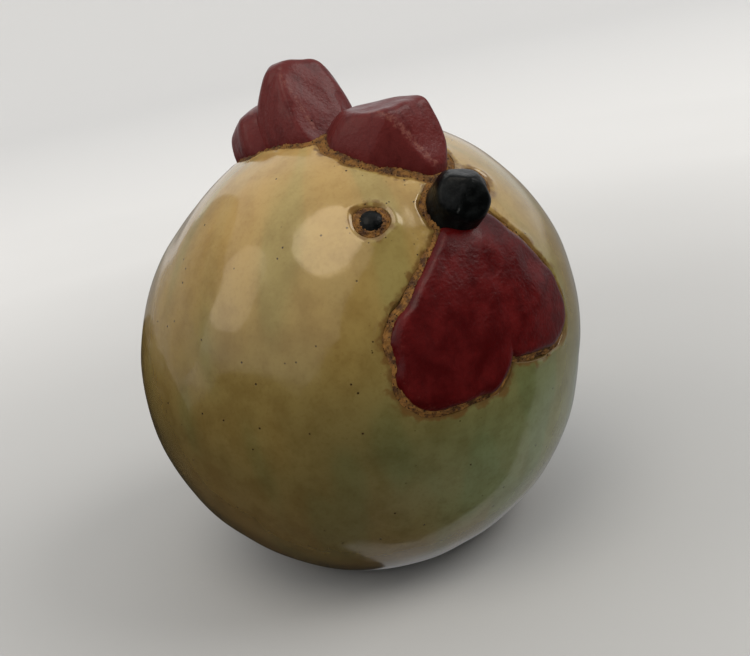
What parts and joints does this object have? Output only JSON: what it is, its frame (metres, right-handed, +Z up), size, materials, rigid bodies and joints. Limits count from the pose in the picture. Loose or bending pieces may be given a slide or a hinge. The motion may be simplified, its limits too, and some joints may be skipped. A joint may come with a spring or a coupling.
{
  "type": "ceramic chicken ornament",
  "caption": "Hand-sized hollow glazed ceramic chicken, a ball with a lobed comb, beak, wattle and eyes set in bands of brown slip, free-standing on its foot.",
  "frame": {"origin": "centre of the foot, on the plane that the ornament stands on", "axes": "+Z up, the chicken looks along -Y, its left side is +X"},
  "size_m": [0.12, 0.1248, 0.1352],
  "materials": {
    "cream_glaze": "thick gloss glaze, straw to olive",
    "red_glaze": "satin to gloss dark red glaze",
    "black_glaze": "gloss black glaze",
    "brown_slip": "rough grainy unglazed slip"
  },
  "bodies": {
    "root": {"body_shell": "cream_glaze", "comb_front_lobe": "red_glaze", "comb_middle_lobe": "red_glaze", "comb_rear_lobe": "red_glaze", "beak": "black_glaze", "wattle": "red_glaze", "eye_right": "black_glaze", "eye_left": "black_glaze", "slip_comb_front": "brown_slip", "slip_comb_middle": "brown_slip", "slip_comb_rear": "brown_slip", "slip_beak": "brown_slip", "slip_wattle": "brown_slip", "slip_eye_right": "brown_slip", "slip_eye_left": "brown_slip"}
  },
  "joints": []
}
